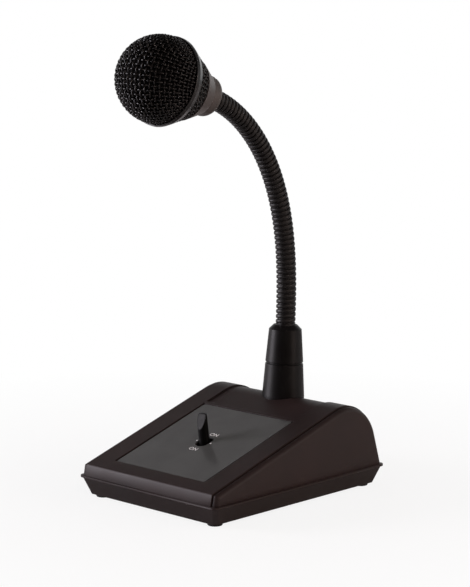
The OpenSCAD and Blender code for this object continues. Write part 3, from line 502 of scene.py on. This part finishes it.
# bends a run so that z = 0 and z = length fall on the two ends of a stretch
def bendRun(bm, first, last, length, leaving, arriving):
    a, b = forward(leaving) * length, forward(arriving) * length
    for vert in bm.verts:
        t = vert.co.z / length
        spot = (first * (2 * t ** 3 - 3 * t ** 2 + 1) + a * (t ** 3 - 2 * t ** 2 + t)
                + last * (3 * t ** 2 - 2 * t ** 3) + b * (t ** 3 - t ** 2))
        angle = leaving + (arriving - leaving) * t
        vert.co = (spot + Vector((vert.co.x, 0, 0)) + Vector((0, cos(angle), sin(angle))) * vert.co.y) * mm


def bodyOf(i):
    return "base" if i == 1 else "head" if i == neck["stretches"] else f"neck_{i:02d}"


# each run turns rigidly about its lower joint; the first and the last run on into collar and socket
def makeNeck():
    count = neck["stretches"]
    for i in range(1, count + 1):
        low = -neck["inCollar"] if i == 1 else 0
        high = stretchLength + (neck["inSocket"] if i == count else 0)
        bm = windRun(low, high, (i - 1) * neck["turns"])
        bendRun(bm, jointSpots[i - 1], jointSpots[i], stretchLength, jointHeading(i - 1), jointHeading(i))
        piece = finishPiece(f"neckWinding_{i:02d}", bm, neckLacquer, sharp=60)
        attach(piece, bodyOf(i))
        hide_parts(f"gooseneck_{i:02d}")


makeNeck()
print("gooseneck done")

# head: woven ball in a painted ring, woven cone behind it, foam inside both
head = {"heading": 73.4, "ballCentre": 43.9, "ballRadius": 25.5, "wire": 1.04, "lift": 0.54, "pitch": 2.92,
        "bends": 6, "seat": 39.75, "coneStart": 22.35, "coneEnd": 34.75, "coneRadii": (18.75, 24.65),
        "coneInset": 0.55, "coneBends": 4, "rods": 46, "hoops": 5, "foamRadius": 24.0, "foamWall": 3.0,
        "foamSeat": 39.7, "foamSteps": 18, "foamPole": 0.02, "foamSides": 64,
        "rearFoam": [(17.2, 25.2), (21.6, 34.4), (20.2, 34.4), (15.9, 25.2)]}
headTurn = Matrix.Rotation(radians(head["heading"]), 3, "X")


# point on the head: x and y across its axis, s along it from the neck's end, all in millimetres
def onHead(x, y, s):
    return (jointSpots[-1] + headTurn @ Vector((x, y, s))) * mm


# a mesh of round wires along lists of points
def meshFromPaths(name, paths, radius, material, node):
    curve = bpy.data.curves.new(name, "CURVE")
    curve.dimensions, curve.use_fill_caps = "3D", True
    curve.bevel_depth, curve.bevel_resolution = radius * mm, 1
    for points, closed in paths:
        spline = curve.splines.new("POLY")
        spline.points.add(len(points) - 1)
        spline.use_cyclic_u = closed
        for slot, spot in zip(spline.points, points):
            slot.co = (*spot, 1)
    wire = bpy.data.objects.new(name + "Path", curve)
    scene.collection.objects.link(wire)
    mesh = bpy.data.meshes.new_from_object(wire.evaluated_get(bpy.context.evaluated_depsgraph_get()))
    bm = bmesh.new()
    bm.from_mesh(mesh)
    bpy.data.objects.remove(wire)
    piece = finishPiece(name, bm, material, sharp=60)
    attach(piece, "head")
    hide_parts(node)


# a flat cloth of wires pressed into the ball: each wire keeps its place on the cloth, over and under in turn
def weaveBall():
    deepest = pi / 2 + asin((head["ballCentre"] - head["seat"]) / head["ballRadius"])
    reach = deepest * head["ballRadius"]
    count = int(reach / head["pitch"])
    paths = []
    for family in (0, 1):
        for i in range(-count, count + 1):
            u = i * head["pitch"]
            half = sqrt(reach ** 2 - u ** 2)
            steps = max(int(half / head["pitch"] * head["bends"]), 2)
            spots = []
            for k in range(-steps, steps + 1):
                v = half * k / steps
                lift = cos(pi * (v / head["pitch"] + i + family)) * head["lift"]
                drawn = sqrt(u * u + v * v)
                turn = drawn / head["ballRadius"]
                bow = head["ballRadius"] + lift
                side = bow * sin(turn) / max(drawn, 1e-6)
                flat = (u * side, v * side) if family == 0 else (v * side, u * side)
                spots.append(onHead(*flat, head["ballCentre"] + bow * cos(turn)))
            paths.append((spots, False))
    return paths


# straight rods woven through hoops, between the cone and the ring
def weaveCone():
    paths = []
    bends, lift = head["coneBends"], head["lift"]
    r0, r1 = (radius - head["coneInset"] for radius in head["coneRadii"])
    s0, s1 = head["coneStart"], head["coneEnd"]
    levels = [(k + 0.5) / head["hoops"] for k in range(head["hoops"])]
    for i in range(head["rods"]):
        spread = 2 * pi * i / head["rods"]
        knots = [(t, 1.0 if (i + j) % 2 else -1.0) for j, t in enumerate(levels)]
        knots = [(0.0, 0.0)] + knots + [(1.0, 0.0)]
        spots = []
        for (a, sideA), (b, sideB) in zip(knots, knots[1:]):
            for k in range(bends):
                t = a + (b - a) * k / bends
                side = sideA + (sideB - sideA) * (1 - cos(pi * k / bends)) / 2
                reach = r0 + (r1 - r0) * t + side * lift
                spots.append(onHead(reach * cos(spread), reach * sin(spread), s0 + (s1 - s0) * t))
        spots.append(onHead(r1 * cos(spread), r1 * sin(spread), s1))
        paths.append((spots, False))
    for j, t in enumerate(levels):
        spots = []
        for k in range(head["rods"] * bends):
            reach = r0 + (r1 - r0) * t - cos(pi * (k / bends + j + 1)) * lift
            spread = 2 * pi * k / (head["rods"] * bends)
            spots.append(onHead(reach * cos(spread), reach * sin(spread), s0 + (s1 - s0) * t))
        paths.append((spots, True))
    return paths


# a closed shape of revolution on the head's axis, from its outline of (radius, along)
def turnOnHead(name, outline, material, node, sharp=40):
    bm = bmesh.new()
    verts = [bm.verts.new((r, 0, s)) for r, s in outline]
    edges = [bm.edges.new(pair) for pair in zip(verts, verts[1:] + verts[:1])]
    bmesh.ops.spin(bm, geom=verts + edges, cent=(0, 0, 0), axis=(0, 0, 1), angle=2 * pi,
                   steps=head["foamSides"], use_merge=True)
    for vert in bm.verts:
        vert.co = onHead(*vert.co)
    piece = finishPiece(name, bm, material, sharp)
    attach(piece, "head")
    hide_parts(node)


def makeHead():
    meshFromPaths("frontWeave", weaveBall(), head["wire"] / 2, grilleEnamel, "front_grille")
    meshFromPaths("rearWeave", weaveCone(), head["wire"] / 2, grilleEnamel, "rear_grille")
    centre, outer = head["ballCentre"], head["foamRadius"]
    inner = outer - head["foamWall"]
    low = asin((head["foamSeat"] - centre) / outer)
    rises = [low + (pi / 2 - low) * k / head["foamSteps"] for k in range(head["foamSteps"])]
    outline = [(outer * cos(a), centre + outer * sin(a)) for a in rises]
    outline += [(head["foamPole"], centre + outer), (head["foamPole"], centre + inner)]
    outline += [(inner * cos(a), centre + inner * sin(a)) for a in reversed(rises)]
    turnOnHead("frontFoamLiner", outline, foamOpenCell, "front_foam")
    turnOnHead("rearFoamLiner", head["rearFoam"], foamOpenCell, "rear_foam")


makeHead()
print("head done")

smoothCopy("lower_tray", "baseTray", absGrain, "base")

# finishes for the solids that stay as they are
dressing = {
    absGrain: ["lower_tray", "upper_housing"],
    absCollar: ["lower_collar", "upper_collar"],
    panelLacquer: ["top_panel"],
    socketPaint: ["head_socket"],
    bandPaint: ["grille_band"],
    rubberMoulded: ["rubber_feet", "cable_grommet", "capsule_cushion"],
    zincPlate: ["housing_screws", "switch_screws", "push_nuts", "lever_pin", "set_screw", "stem_washer",
                "stem_nut", "neck_stem"],
    rolledSteel: ["ballast_plate"],
    turnedAluminium: ["capsule"],
    tinnedBrass: ["switch_terminals"],
    boardLacquer: ["switch_board"],
    phenolicBlock: ["switch_body"],
    leverNylon: ["talk_lever"],
    neckLacquer: [f"gooseneck_{i:02d}" for i in range(1, neck["stretches"] + 1)],
    grilleEnamel: ["front_grille", "rear_grille"],
    foamOpenCell: ["front_foam", "rear_foam"],
}
for material, nodes in dressing.items():
    for node in nodes:
        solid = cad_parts[node].data
        solid.materials.clear()
        solid.materials.append(material)
print("solids dressed:", sum(len(n) for n in dressing.values()))

# pale floor: white to the eye further off, with the object's shadow kept near it
stage = {"floor": 3.0, "nearShare": 0.86, "near": 0.1, "far": 0.4, "ceiling": 5.0, "ceilingHeight": 2.4,
         "silk": 0.09}
floorMaterial = bpy.data.materials.new("paleFloor")
floorMaterial.use_nodes = True
tree = floorMaterial.node_tree
tree.nodes.clear()
place = addNode(tree, "TexCoord").outputs["Object"]
distance = addNode(tree, "VectorMath", {0: place}, operation="LENGTH")
share = addNode(tree, "MapRange", {"Value": distance.outputs["Value"], "From Min": stage["near"],
                                   "From Max": stage["far"], "To Min": stage["nearShare"], "To Max": 1.0})
sweep = addNode(tree, "BsdfDiffuse", {"Color": linear("#f6f6f6")})
glow = addNode(tree, "Emission", {"Color": linear("#ffffff"), "Strength": 1.0})
seen = addNode(tree, "LightPath")
eyeShare = addNode(tree, "Math", {0: seen.outputs["Is Camera Ray"], 1: share.outputs["Result"]},
                   operation="MULTIPLY")
blend = addNode(tree, "MixShader", {0: eyeShare.outputs[0], 1: sweep.outputs[0], 2: glow.outputs[0]})
addNode(tree, "OutputMaterial", {"Surface": blend.outputs[0]})

# grey silk overhead: what the sloped top reflects at this low angle
ceilingMaterial, tree, shader, place = startMaterial("studioSilk")
addFinish(tree, shader, place, {"dark": "#8a8888", "light": "#949292", "blotch": 400, "grain": 40, "relief": 0.1,
                                "depth": 1, "rough": (0.8, 0.9)})
shader.inputs["Emission Color"].default_value = linear("#ffffff")
shader.inputs["Emission Strength"].default_value = stage["silk"]


def makeSheet(name, half, height, material):
    bm = bmesh.new()
    bmesh.ops.create_grid(bm, x_segments=1, y_segments=1, size=half)
    mesh = bpy.data.meshes.new(name)
    bm.to_mesh(mesh)
    bm.free()
    mesh.materials.append(material)
    sheet = bpy.data.objects.new(name, mesh)
    sheet.location.z = height
    scene.collection.objects.link(sheet)


makeSheet("floor", stage["floor"], 0.0, floorMaterial)
makeSheet("ceiling", stage["ceiling"], stage["ceilingHeight"], ceilingMaterial)

# black cloth hung round the camera's side: what faces the eye mirrors a dark room, as in the photograph
curtain = {"radius": 2.3, "height": 2.3, "spread": 72, "folds": 24}
clothMaterial, tree, shader, place = startMaterial("blackDuvetyne")
addFinish(tree, shader, place, {"dark": "#070707", "light": "#0c0c0c", "blotch": 200, "grain": 3, "relief": 0.4,
                                "depth": 1, "rough": (0.92, 1.0)})


def hangCurtain():
    bm = bmesh.new()
    foot = bm.verts.new((curtain["radius"], 0, 0))
    top = bm.verts.new((curtain["radius"], 0, curtain["height"]))
    edge = bm.edges.new((foot, top))
    spread = radians(curtain["spread"])
    bmesh.ops.rotate(bm, verts=[foot, top], cent=(0, 0, 0),
                     matrix=Matrix.Rotation(azimuth - pi / 2 - spread, 3, "Z"))
    bmesh.ops.spin(bm, geom=[foot, top, edge], cent=(0, 0, 0), axis=(0, 0, 1), angle=2 * spread,
                   steps=curtain["folds"])
    mesh = bpy.data.meshes.new("curtain")
    bm.to_mesh(mesh)
    bm.free()
    mesh.materials.append(clothMaterial)
    cloth = bpy.data.objects.new("curtain", mesh)
    cloth.visible_camera = False
    scene.collection.objects.link(cloth)


hangCurtain()

# world: white to the eye and in reflections, a dimmer dome for the fill
studio = {"dome": 0.25, "aim": (0, 0, 0.12), "lamps": [
    {"name": "keyBox", "at": (-1.35, -1.15, 0.42), "size": 0.8, "power": 36, "tint": "#fcf6ff"},
    {"name": "rimBox", "at": (1.3, 1.25, 0.5), "size": 0.8, "power": 9, "tint": "#fff0e8",
     "mirrored": False},
    {"name": "eyeBox", "at": (1.22, -0.7, 1.05), "size": 0.25, "power": 6.5, "tint": "#ffe9de"},
    {"name": "sideBox", "at": (1.15, 0.3, 0.35), "size": 0.4, "power": 4, "tint": "#ffe9de"}]}
world = bpy.data.worlds.new("studioWorld")
scene.world = world
world.use_nodes = True
tree = world.node_tree
tree.nodes.clear()
path = addNode(tree, "LightPath")
eye = addNode(tree, "Math", {0: path.outputs["Is Camera Ray"], 1: path.outputs["Is Glossy Ray"]},
              operation="ADD")
shown = addNode(tree, "Math", {0: eye.outputs[0], 1: path.outputs["Is Transmission Ray"]},
                operation="ADD", use_clamp=True)
dome = addNode(tree, "Background", {"Color": linear("#ffffff"), "Strength": studio["dome"]})
white = addNode(tree, "Background", {"Color": linear("#ffffff"), "Strength": 1.0})
mixed = addNode(tree, "MixShader", {0: shown.outputs[0], 1: dome.outputs[0], 2: white.outputs[0]})
addNode(tree, "OutputWorld", {"Surface": mixed.outputs[0]})
for lamp in studio["lamps"]:
    light = bpy.data.lights.new(lamp["name"], "AREA")
    light.size, light.energy, light.color = lamp["size"], lamp["power"], linear(lamp["tint"])[:3]
    holder = bpy.data.objects.new(lamp["name"], light)
    holder.location = lamp["at"]
    aim = Vector(lamp["at"]) - Vector(studio["aim"])
    holder.rotation_euler = aim.to_track_quat("Z", "Y").to_euler()
    holder.visible_glossy = lamp.get("mirrored", True)
    scene.collection.objects.link(holder)
print("studio done")
